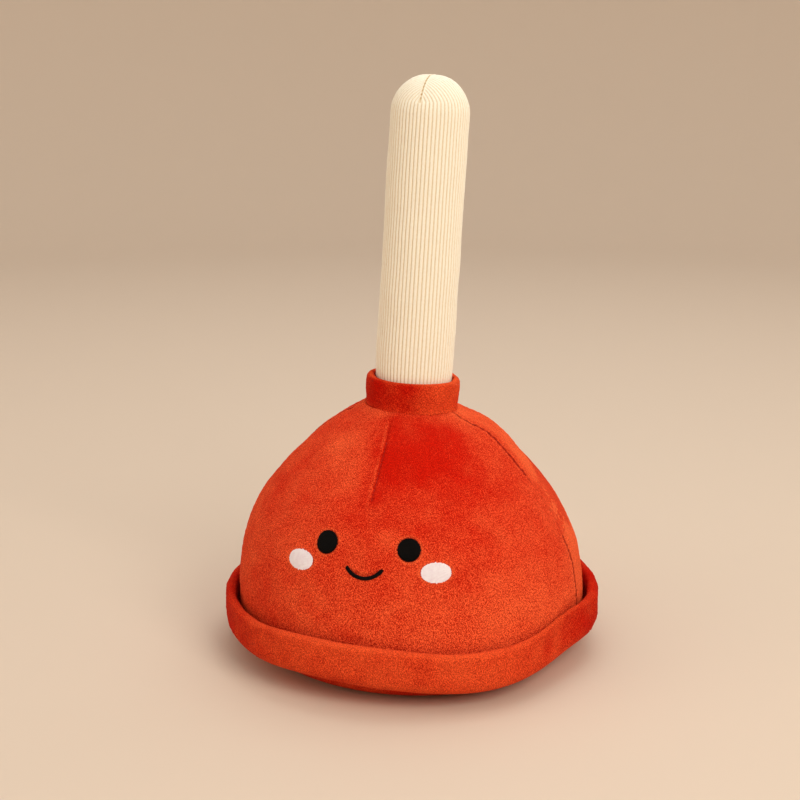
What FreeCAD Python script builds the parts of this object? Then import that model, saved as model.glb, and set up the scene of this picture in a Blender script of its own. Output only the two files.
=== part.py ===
import FreeCAD, Part
import math
import os
from FreeCAD import Placement, Rotation, Vector

# A stuffed toy in the shape of a plunger: a velour bell with a turned-up brim and a stitched face,
# and a corduroy handle in a folded collar. Millimetres, +Z up, the face looks along -Y, and the
# origin is the middle of the flat underside.

# Overall sizes
OVERALL_HEIGHT = 300.0
BELL_RADIUS = 92.5       # at its widest
BELL_WIDEST_Z = 33.0
NECK_Z = 130.0
SHOULDER_IN = 0.27       # share of the way in to the neck where the shoulder curve changes
SHOULDER_UP = 0.57       # share of the way up to the neck at the same point

# Cloth
VELOUR = 1.6             # one ply with its pile
ALLOWANCE = 6.0          # seam allowance turned inside
SIDE_SEAM_Y = -6.0       # the side seams lie this far forward of the middle
PLY_GAP = 0.5            # between two plies sewn together, where the thread runs
EASE = 0.4               # between a panel and the filling behind it
THREAD = 0.6
THREAD_STOP = 4.0        # how far short of the neck and of the bottom seam a sewn line is shown

# Bottom seam, brim and base
SEAM_INSET = 2.9         # how far the bottom seam lies inside the widest radius
SEAM_Z = 11.5
SEAM_ALLOWANCE = 9.0
SEAM_CLEAR = 0.1         # between the plies that meet in the bottom seam
BRIM_BEND = 8.2          # radius at which the brim turns up
BRIM_THICKNESS = 5.5
BRIM_TOP_Z = 32.5
BRIM_PLY = 1.45
BASE_FLAT_RADIUS = 74.0

# Handle and collar
HANDLE_RADIUS = 20.2
HANDLE_LEAN = 3.4        # degrees
LEAN_HEADING = 18.0      # degrees from +X towards +Y
CORDUROY = 1.6
TIP_SEAM_DROP = 14.0     # how far down the front the seam over the tip starts
HANDLE_TUCK = 6.0        # length of handle held below the neck seam
COLLAR_HEIGHT = 15.9
COLLAR_EASE = 0.2        # between the collar and the handle
COLLAR_GAP = 0.3         # between the collar's two plies
NECK_SEAM = 0.4          # half the width of the seam line between bell and collar
NECK_LIP = 0.3           # how far the bell's neck reaches out past the collar

# Darts
DART_END_Z = 92.6
DART_DEPTH = 7.0

# Face
STITCH_HEIGHT = 0.9
FACE_TURN = 2.1          # degrees from the front dart round to the middle of the face
EYE_TURN = 14.6          # degrees either side of the middle of the face
EYE_Z = 77.4
EYE_SIZE = (11.2, 11.7)
CHEEK_TURN = 23.4
CHEEK_Z = 67.4
CHEEK_SIZE = (15.1, 9.9)
MOUTH_Z = 66.3
MOUTH_SIZE = (17.6, 4.6)
MOUTH_STROKE = 1.9
BACKING_SIZE = (84.0, 34.0)
BACKING_Z = 72.0
BACKING_THICKNESS = 0.3

# Small pieces
LABEL_SIZE = (16.0, 13.0)
LABEL_PLY = 0.3
LABEL_CAUGHT = 4.0       # length of label caught in the seam
CLOSING_STITCH = 3.0     # spacing
CLOSING_START = 100.0    # degrees round from the front
CLOSING_LENGTH = 60.0

REACH = 400.0            # larger than the whole toy, for cutting blocks
UP = Vector(0, 0, 1)
CENTRE = Vector(0, 0, 0)


def arc_from(start, normal, end):
    """Centre and radius of the arc that leaves start square to normal and passes through end."""
    chord = end - start
    radius = -chord.dot(chord) / (2 * chord.dot(normal))
    return start - normal * radius, radius


# The collar's outer radius, and the bell's neck just outside it
COLLAR_RADIUS = HANDLE_RADIUS + COLLAR_EASE + 2 * VELOUR + COLLAR_GAP
NECK_RADIUS = COLLAR_RADIUS + NECK_LIP

# The bell's outline: a lower arc, a side arc and a shoulder arc, tangent to each other
SIDE_POINT = Vector(BELL_RADIUS, 0, BELL_WIDEST_Z)
SHOULDER = Vector(
    BELL_RADIUS - SHOULDER_IN * (BELL_RADIUS - NECK_RADIUS),
    0,
    BELL_WIDEST_Z + SHOULDER_UP * (NECK_Z - BELL_WIDEST_Z),
)
SIDE_CENTRE, SIDE_ARC = arc_from(SIDE_POINT, Vector(1, 0, 0), SHOULDER)
SHOULDER_NORMAL = (SHOULDER - SIDE_CENTRE) / SIDE_ARC
TOP_CENTRE, TOP_ARC = arc_from(SHOULDER, SHOULDER_NORMAL, Vector(NECK_RADIUS, 0, NECK_Z))
SEAM_RADIUS = BELL_RADIUS - SEAM_INSET
LOW_CENTRE, LOW_ARC = arc_from(SIDE_POINT, Vector(1, 0, 0), Vector(SEAM_RADIUS, 0, SEAM_Z))


def on_arc(centre, radius, z):
    return Vector(centre.x + math.sqrt(radius**2 - (z - centre.z) ** 2), 0, z)


def bell_radius(z, inset=0.0):
    if z > (SHOULDER - SHOULDER_NORMAL * inset).z:
        return on_arc(TOP_CENTRE, TOP_ARC - inset, z).x
    if z > BELL_WIDEST_Z:
        return on_arc(SIDE_CENTRE, SIDE_ARC - inset, z).x
    return on_arc(LOW_CENTRE, LOW_ARC - inset, z).x


def bell_point(z, inset=0.0):
    return Vector(bell_radius(z, inset), 0, z)


def line(a, b):
    return Part.LineSegment(a, b).toShape()


def arc(a, b, c):
    return Part.Arc(a, b, c).toShape()


def face_of(edges):
    return Part.Face(Part.Wire(edges))


def polygon(points):
    corners = [Vector(x, 0, z) for x, z in points]
    return face_of([line(a, b) for a, b in zip(corners, corners[1:] + corners[:1])])


def spun(face):
    return face.revolve(CENTRE, UP, 360)


def block(low, high):
    size = [b - a for a, b in zip(low, high)]
    return Part.makeBox(size[0], size[1], size[2], Vector(*low))


def slab_x(half, y_low=-REACH, y_high=REACH, z_low=-REACH, z_high=REACH):
    return block((-half, y_low, z_low), (half, y_high, z_high))


def side_slab(half, x_low=-REACH, x_high=REACH, z_low=-REACH, z_high=REACH):
    """A slab centred on the plane of the bell's side seams."""
    return block((x_low, SIDE_SEAM_Y - half, z_low), (x_high, SIDE_SEAM_Y + half, z_high))


def bell_form(inset, z_low=SEAM_Z, z_high=NECK_Z + 6.0):
    """The bell's outline moved in by inset, spun into a solid that stops short of its own point."""
    shoulder = SHOULDER - SHOULDER_NORMAL * inset
    point_z = TOP_CENTRE.z + math.sqrt((TOP_ARC - inset) ** 2 - (1.0 - TOP_CENTRE.x) ** 2)
    z_high = min(z_high, point_z)
    side = Vector(BELL_RADIUS - inset, 0, BELL_WIDEST_Z)
    bottom, top = bell_point(z_low, inset), bell_point(z_high, inset)
    edges = [
        line(Vector(0, 0, z_low), bottom),
        arc(bottom, bell_point((z_low + BELL_WIDEST_Z) / 2, inset), side),
        arc(side, bell_point((BELL_WIDEST_Z + shoulder.z) / 2, inset), shoulder),
        arc(shoulder, bell_point((shoulder.z + z_high) / 2, inset), top),
        line(top, Vector(0, 0, z_high)),
        line(Vector(0, 0, z_high), Vector(0, 0, z_low)),
    ]
    return spun(face_of(edges))


def bell_shell(outer, inner, z_low=SEAM_Z, z_high=NECK_Z + 6.0):
    return bell_form(outer, z_low, z_high).cut(bell_form(inner, z_low, z_high))


def leaned(shape):
    """Moves a piece made round the vertical, with z = 0 at the neck, onto the leaning handle's line."""
    heading = math.radians(LEAN_HEADING)
    hinge = Vector(-math.sin(heading), math.cos(heading), 0)
    placed = shape.copy()
    placed.Placement = Placement(Vector(0, 0, NECK_Z), Rotation(hinge, HANDLE_LEAN))
    return placed


def ring(inner, outer, z_low, z_high):
    return spun(polygon([(inner, z_low), (outer, z_low), (outer, z_high), (inner, z_high)]))


def disc(radius, z_low, z_high):
    return Part.makeCylinder(radius, z_high - z_low, Vector(0, 0, z_low))


def dart_wedge(half, end_z, depth, facing):
    """The block that a centre dart fills, from the neck down to a point at end_z."""
    top = NECK_Z + 8.0
    tip = bell_radius(end_z)
    outline = [(tip, end_z), (tip, top), (NECK_RADIUS - depth, top), (NECK_RADIUS - depth, NECK_Z - 4.0)]
    wedge = polygon(outline).extrude(Vector(0, 2 * half, 0))
    wedge.translate(Vector(0, -half, 0))
    wedge.rotate(CENTRE, UP, -90.0 if facing < 0 else 90.0)
    return wedge


def facing_block(facing, near, far):
    """The block between two distances from the side seams' plane, on the front (-1) or the back (1)."""
    low, high = sorted((SIDE_SEAM_Y + facing * near, SIDE_SEAM_Y + facing * far))
    return block((-REACH, low, -REACH), (REACH, high, REACH))


def bell_room(facing, bottom):
    """The space that a panel's cloth and turned-in plies leave inside one half of the bell."""
    room = bell_form(VELOUR, SEAM_Z - BRIM_PLY)
    ply = facing_block(facing, PLY_GAP / 2 - 1.0, PLY_GAP / 2 + VELOUR)
    room = room.cut(ply.cut(bell_form(VELOUR + ALLOWANCE, SEAM_Z - BRIM_PLY)))
    hem_low, hem_high = bottom - BRIM_THICKNESS, bottom + VELOUR
    room = room.cut(ring(SEAM_RADIUS - SEAM_ALLOWANCE, BELL_RADIUS + VELOUR, hem_low, hem_high))
    return room.cut(dart_wedge(PLY_GAP / 2 + VELOUR, DART_END_Z, DART_DEPTH, facing))


def bell_panel(facing):
    """One half of the bell; facing is -1 for the front and 1 for the back."""
    bottom = SEAM_Z + BRIM_PLY + SEAM_CLEAR
    panel = bell_form(0, bottom).common(facing_block(facing, PLY_GAP / 2, REACH))
    panel = panel.cut(bell_room(facing, bottom))
    panel = panel.cut(dart_wedge(PLY_GAP / 2, DART_END_Z, DART_DEPTH - VELOUR, facing))
    panel = panel.cut(leaned(block((-REACH, -REACH, -NECK_SEAM), (REACH, REACH, REACH))))
    return panel.cut(leaned(disc(HANDLE_RADIUS + COLLAR_EASE, -4 * HANDLE_TUCK, REACH)))


def dart_thread(facing):
    """The sewn line of a centre dart, just under the surface between the dart's two plies."""
    slit = dart_wedge(PLY_GAP / 2, DART_END_Z, DART_DEPTH - VELOUR, facing)
    line_of_stitches = bell_shell(THREAD, 2 * THREAD).common(slit)
    return line_of_stitches.common(slab_x(PLY_GAP, -REACH, REACH, 0, NECK_Z - THREAD_STOP))


def side_thread(side):
    near, far = sorted((0.0, side * REACH))
    strip = bell_shell(THREAD, 2 * THREAD)
    return strip.common(side_slab(PLY_GAP / 2, near, far, SEAM_Z + THREAD_STOP, NECK_Z - THREAD_STOP))


def brim_section(inner, root_half, body_half, top):
    """The brim's cross section: a flat root in the seam, then a bend up to a rounded fold."""
    middle = SEAM_RADIUS + BRIM_BEND
    turn_z = SEAM_Z + BRIM_BEND
    fold = top - body_half
    slant = math.sqrt(0.5)
    bend_half = 0.2 * root_half + 0.8 * body_half
    out_45 = (BRIM_BEND + bend_half) * slant
    in_45 = (BRIM_BEND - bend_half) * slant

    def at(x, z):
        return Vector(x, 0, z)

    root_low = at(SEAM_RADIUS, SEAM_Z - root_half)
    root_high = at(SEAM_RADIUS, SEAM_Z + root_half)
    edges = [
        line(at(inner, SEAM_Z - root_half), root_low),
        arc(root_low, at(SEAM_RADIUS + out_45, turn_z - out_45), at(middle + body_half, turn_z)),
        line(at(middle + body_half, turn_z), at(middle + body_half, fold)),
        arc(at(middle + body_half, fold), at(middle, top), at(middle - body_half, fold)),
        line(at(middle - body_half, fold), at(middle - body_half, turn_z)),
        arc(at(middle - body_half, turn_z), at(SEAM_RADIUS + in_45, turn_z - in_45), root_high),
        line(root_high, at(inner, SEAM_Z + root_half)),
        line(at(inner, SEAM_Z + root_half), at(inner, SEAM_Z - root_half)),
    ]
    return face_of(edges)


def brim_band():
    inner = SEAM_RADIUS - SEAM_ALLOWANCE
    outside = spun(brim_section(inner, BRIM_PLY, BRIM_THICKNESS / 2, BRIM_TOP_Z))
    inside = spun(brim_section(inner - 1.0, 0.1, BRIM_THICKNESS / 2 - BRIM_PLY, BRIM_TOP_Z - BRIM_PLY))
    return outside.cut(inside)


def brim_batting():
    """The wadding inside the fold, which ends short of the seam."""
    spare = 0.05
    half, top = BRIM_THICKNESS / 2 - BRIM_PLY - spare, BRIM_TOP_Z - BRIM_PLY - spare
    core = spun(brim_section(SEAM_RADIUS - 1.0, spare, half, top))
    return core.cut(disc(SEAM_RADIUS + BRIM_BEND / 2, 0, SEAM_Z + BRIM_BEND))


def base_panel():
    """The underside: flat on the ground, curving up to its turned-in edge in the bottom seam."""
    high = SEAM_Z - BRIM_PLY - SEAM_CLEAR
    inner = SEAM_RADIUS - SEAM_ALLOWANCE

    def at(x, z):
        return Vector(x, 0, z)

    centre, radius = arc_from(at(BASE_FLAT_RADIUS, 0), at(0, -1), at(SEAM_RADIUS, high))
    half_turn = math.asin((SEAM_RADIUS - BASE_FLAT_RADIUS) / radius) / 2
    middle = centre + at(math.sin(half_turn), -math.cos(half_turn)) * radius
    outside = [
        line(at(0, 0), at(BASE_FLAT_RADIUS, 0)),
        arc(at(BASE_FLAT_RADIUS, 0), middle, at(SEAM_RADIUS, high)),
        line(at(SEAM_RADIUS, high), at(0, high)),
        line(at(0, high), at(0, 0)),
    ]
    panel = spun(face_of(outside))
    room_top = high - VELOUR
    room = polygon(
        [(0, VELOUR), (BASE_FLAT_RADIUS - 1.0, VELOUR), (SEAM_RADIUS - 4.0, room_top), (0, room_top)]
    )
    return panel.cut(spun(room)).cut(disc(inner, VELOUR, REACH)).cut(label_block(0.05))


def base_seam_thread():
    top = SEAM_Z + BRIM_PLY + SEAM_CLEAR + VELOUR
    return Part.makeTorus(SEAM_RADIUS - SEAM_ALLOWANCE / 2, THREAD / 2, Vector(0, 0, top + THREAD / 2))


def bell_filling():
    """The fibre that fills the bell, clear of the turned-in plies."""
    inset = VELOUR + EASE
    floor = SEAM_Z + BRIM_PLY + VELOUR + THREAD + EASE
    body = bell_form(inset, floor, NECK_Z + 1.0)
    plug = disc(SEAM_RADIUS - SEAM_ALLOWANCE - EASE, VELOUR + EASE, floor + 1.0)
    body = body.fuse(plug)
    slot = PLY_GAP / 2 + VELOUR + EASE
    seams = bell_shell(0, VELOUR + ALLOWANCE + EASE).common(side_slab(slot))
    body = body.cut(seams)
    for facing in (-1, 1):
        body = body.cut(dart_wedge(slot, DART_END_Z - EASE, DART_DEPTH + EASE, facing))
    tuck = HANDLE_TUCK + 1.5 * EASE
    return body.cut(leaned(block((-REACH, -REACH, -tuck), (REACH, REACH, REACH)))).removeSplitter()


def handle_length():
    """Length from the neck seam to the round tip, such that the leaning handle is as high as the toy."""
    return (OVERALL_HEIGHT - NECK_Z - HANDLE_RADIUS) / math.cos(math.radians(HANDLE_LEAN)) + HANDLE_RADIUS


def handle_form(inset, z_low):
    """The handle's outline moved in by inset, spun, with z = 0 at the neck seam."""
    radius = HANDLE_RADIUS - inset
    start = handle_length() - HANDLE_RADIUS
    slant = radius * math.sqrt(0.5)
    foot, shoulder, tip = Vector(radius, 0, z_low), Vector(radius, 0, start), Vector(0, 0, start + radius)
    edges = [
        line(Vector(0, 0, z_low), foot),
        line(foot, shoulder),
        arc(shoulder, Vector(slant, 0, start + slant), tip),
        line(tip, Vector(0, 0, z_low)),
    ]
    return spun(face_of(edges))


def tip_blade(half):
    """A thin block where the seam runs over the tip from front to back."""
    return slab_x(half, -REACH, HANDLE_RADIUS / 3, handle_length() - TIP_SEAM_DROP, REACH)


def handle_sleeve():
    """One piece of corduroy rolled into a tube, its edges turned inside along the back."""
    foot = -HANDLE_TUCK
    cloth = handle_form(0, foot).cut(handle_form(CORDUROY, foot))
    plies = handle_form(0, foot).cut(handle_form(CORDUROY + ALLOWANCE, foot))
    cloth = cloth.fuse(plies.common(slab_x(PLY_GAP / 2 + CORDUROY, 0, REACH)))
    cloth = cloth.cut(slab_x(PLY_GAP / 2, HANDLE_RADIUS / 3, REACH))
    groove = handle_form(-1.0, foot).cut(handle_form(2 * THREAD + 0.05, foot))
    cloth = cloth.cut(groove.common(tip_blade(PLY_GAP / 2 + 0.05)))
    return leaned(cloth.removeSplitter())


def handle_tip_thread():
    strip = handle_form(THREAD, -HANDLE_TUCK).cut(handle_form(2 * THREAD, -HANDLE_TUCK))
    return leaned(strip.common(tip_blade(PLY_GAP / 2)))


def handle_back_thread():
    strip = handle_form(THREAD, 1.0).cut(handle_form(2 * THREAD, 1.0))
    return leaned(strip.common(slab_x(PLY_GAP / 2, HANDLE_RADIUS / 3, REACH)))


def handle_filling():
    inset = CORDUROY + EASE / 2
    body = handle_form(inset, -HANDLE_TUCK)
    plies = body.cut(handle_form(CORDUROY + ALLOWANCE + EASE / 2, -HANDLE_TUCK - 1.0))
    slot = plies.common(slab_x(PLY_GAP / 2 + CORDUROY + EASE / 2, 0, REACH))
    return leaned(body.cut(slot))


def collar_band():
    """A band folded along its top edge and sewn into the neck seam by its two raw edges."""
    inner, outer = HANDLE_RADIUS + COLLAR_EASE, COLLAR_RADIUS
    middle, half = (inner + outer) / 2, (outer - inner) / 2
    fold = COLLAR_HEIGHT - half

    def at(x, z):
        return Vector(x, 0, z)

    band = face_of([
        line(at(inner, NECK_SEAM), at(outer, NECK_SEAM)),
        line(at(outer, NECK_SEAM), at(outer, fold)),
        arc(at(outer, fold), at(middle, COLLAR_HEIGHT), at(inner, fold)),
        line(at(inner, fold), at(inner, NECK_SEAM)),
    ])
    gap = ring(middle - COLLAR_GAP / 2, middle + COLLAR_GAP / 2, NECK_SEAM - 1.0, fold)
    return leaned(spun(band).cut(gap).cut(slab_x(PLY_GAP / 2, 0, REACH)))


def collar_back_thread():
    inner = HANDLE_RADIUS + COLLAR_EASE + THREAD
    strip = ring(inner, inner + 2 * VELOUR - THREAD, 2.0, COLLAR_HEIGHT - 3.0)
    return leaned(strip.common(slab_x(PLY_GAP / 2, 0, REACH)))


def neck_seam_thread():
    return leaned(Part.makeTorus(NECK_RADIUS - 2 * THREAD, THREAD / 2, CENTRE))


def on_bell(turn, z):
    """Placement on the bell's surface: local X to the right, Y up the cloth and Z outwards."""
    angle = math.radians(turn)
    out = Vector(math.sin(angle), -math.cos(angle), 0)
    across = Vector(math.cos(angle), math.sin(angle), 0)
    step = 0.5
    slope = (bell_radius(z + step) - bell_radius(z - step)) / (2 * step)
    up = (out * slope + UP).normalize()
    normal = across.cross(up)
    return Placement(out * bell_radius(z) + UP * z, Rotation(across, up, normal, "ZXY"))


def patch(outline, turn, z, outer, inner, depth=8.0):
    """Cuts a flat outline out of the layer between two insets of the bell."""
    prism = outline.extrude(Vector(0, 0, 2 * depth))
    prism.translate(Vector(0, 0, -depth))
    prism.Placement = on_bell(turn, z).multiply(prism.Placement)
    return bell_shell(outer, inner, SEAM_Z + 5.0, NECK_Z).common(prism)


def oval(size):
    long_way = max(size)
    edge = Part.Ellipse(CENTRE, long_way / 2, min(size) / 2).toShape()
    face = Part.Face(Part.Wire([edge]))
    if size[1] == long_way:
        face.rotate(CENTRE, UP, 90)
    return face


def smile():
    """A round-ended stroke along a shallow arc."""
    width, drop = MOUTH_SIZE
    half, stroke = width / 2, MOUTH_STROKE / 2
    radius = (half**2 + drop**2) / (2 * drop)
    centre = Vector(0, radius - drop / 2, 0)
    sweep = math.asin(half / radius)

    def at(distance, angle):
        return centre + Vector(distance * math.sin(angle), -distance * math.cos(angle), 0)

    cap = stroke / radius
    return face_of([
        arc(at(radius + stroke, -sweep), at(radius + stroke, 0), at(radius + stroke, sweep)),
        arc(at(radius + stroke, sweep), at(radius, sweep + cap), at(radius - stroke, sweep)),
        arc(at(radius - stroke, sweep), at(radius - stroke, 0), at(radius - stroke, -sweep)),
        arc(at(radius - stroke, -sweep), at(radius, -sweep - cap), at(radius + stroke, -sweep)),
    ])


def face_backing():
    width, height = BACKING_SIZE
    sheet = Part.makePlane(width, height, Vector(-width / 2, -height / 2, 0))
    inset = VELOUR + (EASE - BACKING_THICKNESS) / 2
    return patch(sheet, FACE_TURN, BACKING_Z, inset, inset + BACKING_THICKNESS, 30.0)


def label_block(spare=0.0):
    """The room that the folded label takes in the back of the bottom seam."""
    width, length = LABEL_SIZE
    high = SEAM_Z - BRIM_PLY - SEAM_CLEAR
    thick = 2 * LABEL_PLY + 0.1
    start = SEAM_RADIUS - LABEL_CAUGHT
    return block(
        (-width / 2 - spare, start - spare, high - thick - spare),
        (width / 2 + spare, start + length, high + spare),
    )


def care_label():
    width, length = LABEL_SIZE
    high = SEAM_Z - BRIM_PLY - SEAM_CLEAR - LABEL_PLY
    start = SEAM_RADIUS - LABEL_CAUGHT
    fold = start + length - LABEL_PLY
    return label_block().cut(block((-width, start - 1.0, high - 0.1), (width, fold, high)))


def closing_stitches():
    radius = SEAM_RADIUS + THREAD / 2
    step = math.degrees(CLOSING_STITCH / radius)
    count = int(CLOSING_LENGTH / CLOSING_STITCH)
    low = SEAM_Z - BRIM_PLY - 1.6
    stitches = []
    for i in range(count):
        stitch = Part.makeCylinder(THREAD / 2, 2.2, Vector(0, -radius, low))
        stitch.rotate(CENTRE, UP, CLOSING_START + i * step)
        stitches.append(stitch)
    return Part.makeCompound(stitches)


def export(name, shape):
    if not shape.isValid() or not shape.Solids:
        raise ValueError(name + " is not a valid solid")
    if len(shape.Solids) == 1:
        shape = shape.Solids[0]
    shape.exportStep("parts/" + name + ".step")
    print(name, len(shape.Solids), round(shape.Volume / 1000.0, 2), "cm3")


PIECES = {
    "bell_front_panel": lambda: bell_panel(-1),
    "bell_back_panel": lambda: bell_panel(1),
    "bell_base_panel": base_panel,
    "bell_filling": bell_filling,
    "brim_band": brim_band,
    "brim_batting": brim_batting,
    "collar_band": collar_band,
    "handle_sleeve": handle_sleeve,
    "handle_filling": handle_filling,
    "left_eye": lambda: patch(oval(EYE_SIZE), FACE_TURN - EYE_TURN, EYE_Z, -STITCH_HEIGHT, 0),
    "right_eye": lambda: patch(oval(EYE_SIZE), FACE_TURN + EYE_TURN, EYE_Z, -STITCH_HEIGHT, 0),
    "left_cheek": lambda: patch(oval(CHEEK_SIZE), FACE_TURN - CHEEK_TURN, CHEEK_Z, -STITCH_HEIGHT, 0),
    "right_cheek": lambda: patch(oval(CHEEK_SIZE), FACE_TURN + CHEEK_TURN, CHEEK_Z, -STITCH_HEIGHT, 0),
    "mouth": lambda: patch(smile(), FACE_TURN, MOUTH_Z, -STITCH_HEIGHT, 0),
    "face_backing": face_backing,
    "front_dart_thread": lambda: dart_thread(-1),
    "back_dart_thread": lambda: dart_thread(1),
    "left_side_thread": lambda: side_thread(-1),
    "right_side_thread": lambda: side_thread(1),
    "base_seam_thread": base_seam_thread,
    "neck_seam_thread": neck_seam_thread,
    "handle_tip_thread": handle_tip_thread,
    "handle_back_thread": handle_back_thread,
    "collar_back_thread": collar_back_thread,
    "closing_stitches": closing_stitches,
    "care_label": care_label,
}

os.makedirs("parts", exist_ok=True)
for piece, make in PIECES.items():
    export(piece, make())
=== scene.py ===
import math

import bmesh
import bpy
import numpy as np
from mathutils import Matrix, Vector


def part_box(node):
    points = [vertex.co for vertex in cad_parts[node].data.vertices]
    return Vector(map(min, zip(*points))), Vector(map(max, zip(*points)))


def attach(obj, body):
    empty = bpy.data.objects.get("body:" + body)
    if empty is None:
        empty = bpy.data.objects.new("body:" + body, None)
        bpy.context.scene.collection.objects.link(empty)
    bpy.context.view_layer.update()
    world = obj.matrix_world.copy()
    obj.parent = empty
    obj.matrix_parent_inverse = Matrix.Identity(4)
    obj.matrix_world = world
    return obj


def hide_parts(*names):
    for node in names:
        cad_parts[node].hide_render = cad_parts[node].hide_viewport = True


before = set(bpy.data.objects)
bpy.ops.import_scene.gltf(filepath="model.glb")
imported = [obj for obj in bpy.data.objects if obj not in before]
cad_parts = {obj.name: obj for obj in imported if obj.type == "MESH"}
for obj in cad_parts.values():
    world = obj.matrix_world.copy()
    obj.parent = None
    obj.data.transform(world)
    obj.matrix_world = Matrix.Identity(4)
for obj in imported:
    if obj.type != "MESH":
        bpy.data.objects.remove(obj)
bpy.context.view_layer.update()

# A stuffed toy in the shape of a plunger. Shapes are worked out in millimetres and written in metres.
mm = 0.001
print("frame loaded")


def hexColour(code):
    # sRGB hex to the linear values that shaders take
    parts = [int(code[i:i + 2], 16) / 255 for i in (1, 3, 5)]
    return tuple(c / 12.92 if c <= 0.04045 else ((c + 0.055) / 1.055) ** 2.4 for c in parts) + (1.0,)


def dimmed(colour, share):
    return tuple(min(1.0, c * share) for c in colour[:3]) + (1.0,)


def setSockets(tree, node, inputs, links):
    for name, value in inputs.items():
        node.inputs[name].default_value = value
    for name, socket in links.items():
        tree.links.new(socket, node.inputs[name])


def addNode(tree, kind, settings=None, inputs=None, links=None):
    node = tree.nodes.new(kind)
    for name, value in (settings or {}).items():
        setattr(node, name, value)
    setSockets(tree, node, inputs or {}, links or {})
    return node


def newMaterial(name):
    material = bpy.data.materials.new(name)
    material.use_nodes = True
    tree = material.node_tree
    return material, tree, tree.nodes["Principled BSDF"]


def boxOf(node):
    low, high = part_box(node)
    return Vector(low) / mm, Vector(high) / mm


def smoothStep(x):
    x = np.clip(x, 0, 1)
    return x * x * (3 - 2 * x)


def bump(distance, width):
    return np.exp(-((distance / width) ** 2))


def waves(points, size, seed, count=14):
    # soft random relief between about -1 and 1, the same on every run
    rng = np.random.default_rng(seed)
    total = np.zeros(len(points))
    for _ in range(count):
        way = rng.normal(size=3)
        way /= np.linalg.norm(way)
        length = size * rng.uniform(0.7, 1.6)
        total += np.cos(points @ way * (2 * math.pi / length) + rng.uniform(0, 2 * math.pi))
    return total / math.sqrt(count)


def pileRelief(points, seed):
    # uneven pile, at two sizes
    return 0.1 * waves(points, 2.7, seed, 24) + 0.07 * waves(points, 1.9, seed + 1, 24)


def angleOf(points):
    # from the front towards +X
    return np.arctan2(points[:, 0], -points[:, 1])


def radiusOf(points):
    return np.hypot(points[:, 0], points[:, 1])


def turnFrom(degrees, at):
    # how far an angle is from another, the short way round
    return (degrees - at + 180) % 360 - 180


def pushOut(points, angle, amount):
    # moves points away from the vertical axis
    points[:, 0] += np.sin(angle) * amount
    points[:, 1] -= np.cos(angle) * amount


def evenly(points, step):
    # points spaced step apart along an outline
    points = np.array(points, float)
    gaps = np.linalg.norm(np.diff(points, axis=0), axis=1)
    along = np.concatenate([[0], np.cumsum(gaps)])
    count = max(2, int(round(along[-1] / step)) + 1)
    at = np.linspace(0, along[-1], count)
    return [tuple(float(np.interp(t, along, points[:, i])) for i in (0, 1)) for t in at]


def turn(centre, radius, first, last, steps=12):
    # points along an arc of an outline, angles in degrees from +r towards +z
    angles = np.radians(np.linspace(first, last, steps))
    return [(centre[0] + radius * math.cos(a), centre[1] + radius * math.sin(a)) for a in angles]


def spinOutline(outline, steps, closed=True):
    # spins an outline of (radius, height) points round the vertical: an eighth of a turn, then copied round
    bm = bmesh.new()
    verts = [bm.verts.new((r, 0, z)) for r, z in outline]
    pairs = list(zip(verts, verts[1:]))
    if closed:
        pairs.append((verts[-1], verts[0]))
    edges = [bm.edges.new(pair) for pair in pairs]
    bmesh.ops.spin(bm, geom=verts + edges, cent=(0, 0, 0), axis=(0, 0, 1),
                   angle=math.pi / 4, steps=steps // 8)
    for eighths in (1, 2, 4):
        copied = bmesh.ops.duplicate(bm, geom=bm.verts[:] + bm.edges[:] + bm.faces[:])["geom"]
        bmesh.ops.rotate(bm, verts=[v for v in copied if isinstance(v, bmesh.types.BMVert)],
                         matrix=Matrix.Rotation(eighths * math.pi / 4, 3, "Z"))
    bmesh.ops.remove_doubles(bm, verts=bm.verts, dist=0.0005)
    bmesh.ops.recalc_face_normals(bm, faces=bm.faces)
    return bm


def coords(mesh):
    co = np.empty(len(mesh.vertices) * 3)
    mesh.vertices.foreach_get("co", co)
    return co.reshape(-1, 3)


def setCoords(mesh, co):
    mesh.vertices.foreach_set("co", np.ascontiguousarray(co, dtype=np.float32).ravel())
    mesh.update()


def paint(mesh, name, values):
    # a value for each vertex, which a material reads by name
    layer = mesh.attributes.new(name, "FLOAT", "POINT")
    layer.data.foreach_set("value", np.ascontiguousarray(values, dtype=np.float32))


def toMesh(bm, name):
    mesh = bpy.data.meshes.new(name)
    bm.to_mesh(mesh)
    bm.free()
    return mesh


def makePiece(name, mesh, material, nodes):
    # scales a mesh from millimetres, and makes it the piece that stands for its CAD nodes
    mesh.transform(Matrix.Scale(mm, 4))
    mesh.shade_smooth()
    mesh.materials.append(material)
    piece = bpy.data.objects.new(name, mesh)
    bpy.context.scene.collection.objects.link(piece)
    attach(piece, "root")
    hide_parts(*nodes)
    return piece


# polyester velour, knitted and sheared: short dense pile, flecked where the nap lies both ways,
# with a pale bloom at the edges
velour = {
    # ground: the dark red of that painted shade in seams and creases
    "deep": "#C41301", "light": "#EC5F34", "bloom": "#FF7038", "ground": "#5A0800",
    "brimDeep": "#B80F00", "brimLight": "#E25228",
    "grain": 0.38, "patch": 9.0,         # tufts and cloudy patches, in millimetres
    "tuftLow": 0.36, "tuftHigh": 0.64,   # the span of the noise that a tuft runs through
    "fleck": 0.6, "cloud": 0.1, "tuftDark": 0.7, "tuftPale": 1.4, "tuftDepth": 0.45,
}
# cotton corduroy: rounded ribs of cut pile with the ground showing in narrow grooves, which are painted darker,
# partly for that ground and partly as painted shade
corduroy = {"ridge": "#FFFCEC", "groove": "#DFC599", "bloom": "#FFFCF2", "grain": 0.5, "depth": 0.2}
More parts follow.
